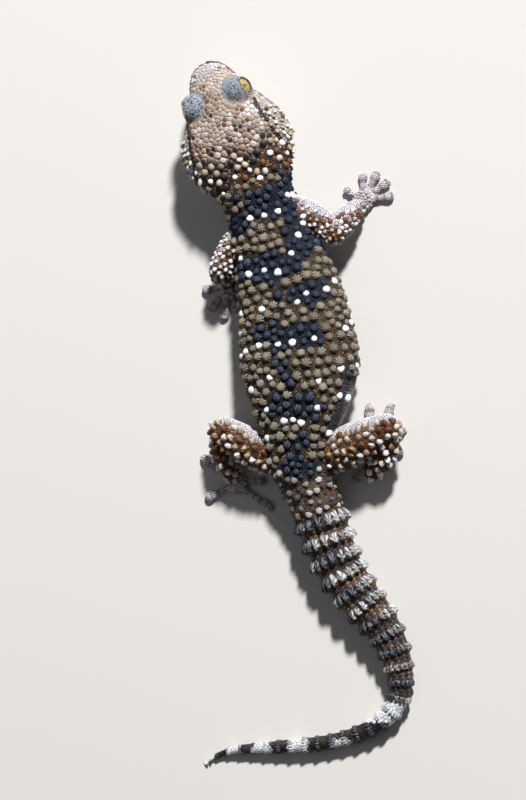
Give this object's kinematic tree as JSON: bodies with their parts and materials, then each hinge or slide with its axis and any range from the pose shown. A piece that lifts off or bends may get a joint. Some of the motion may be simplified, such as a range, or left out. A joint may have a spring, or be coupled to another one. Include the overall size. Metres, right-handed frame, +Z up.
{
  "type": "bibron's thick-toed gecko",
  "caption": "Life-size gecko lying along the floor: broad head turned to its left, keeled back, four bent limbs with padded toes and a whorled tail that curls back.",
  "frame": {"origin": "middle of the whole animal's box, on the floor that its belly, tail and feet rest on", "axes": "+Y towards the head along the body, +X to its right, +Z up out of its back"},
  "size_m": [0.0466, 0.1411, 0.0142],
  "materials": {
    "back": "dry, granular and strongly keeled",
    "head": "dry and granular",
    "tail": "dry, in whorls of spines",
    "limb": "dry, granular and keeled",
    "pad": "soft ridged pads",
    "eye": "wet and glossy"
  },
  "bodies": {
    "root": {"head": "head", "jaw": "head", "eye_left": "eye", "eye_right": "eye", "neck": "back", "chest": "back", "belly": "back", "pelvis": "back", "tail_1": "tail", "tail_2": "tail", "tail_3": "tail", "tail_4": "tail", "tail_5": "tail", "tail_6": "tail", "tail_7": "tail", "upper_arm_left": "limb", "forearm_left": "limb", "thigh_left": "limb", "shank_left": "limb", "hand_left": "limb", "foot_left": "limb", "finger_left_1": "pad", "finger_left_2": "pad", "finger_left_3": "pad", "finger_left_4": "pad", "finger_left_5": "pad", "toe_left_1": "pad", "toe_left_2": "pad", "toe_left_3": "pad", "toe_left_4": "pad", "toe_left_5": "pad", "upper_arm_right": "limb", "forearm_right": "limb", "thigh_right": "limb", "shank_right": "limb", "hand_right": "limb", "foot_right": "limb", "finger_right_1": "pad", "finger_right_2": "pad", "finger_right_3": "pad", "finger_right_4": "pad", "finger_right_5": "pad", "toe_right_1": "pad", "toe_right_2": "pad", "toe_right_3": "pad", "toe_right_4": "pad", "toe_right_5": "pad"}
  },
  "joints": []
}
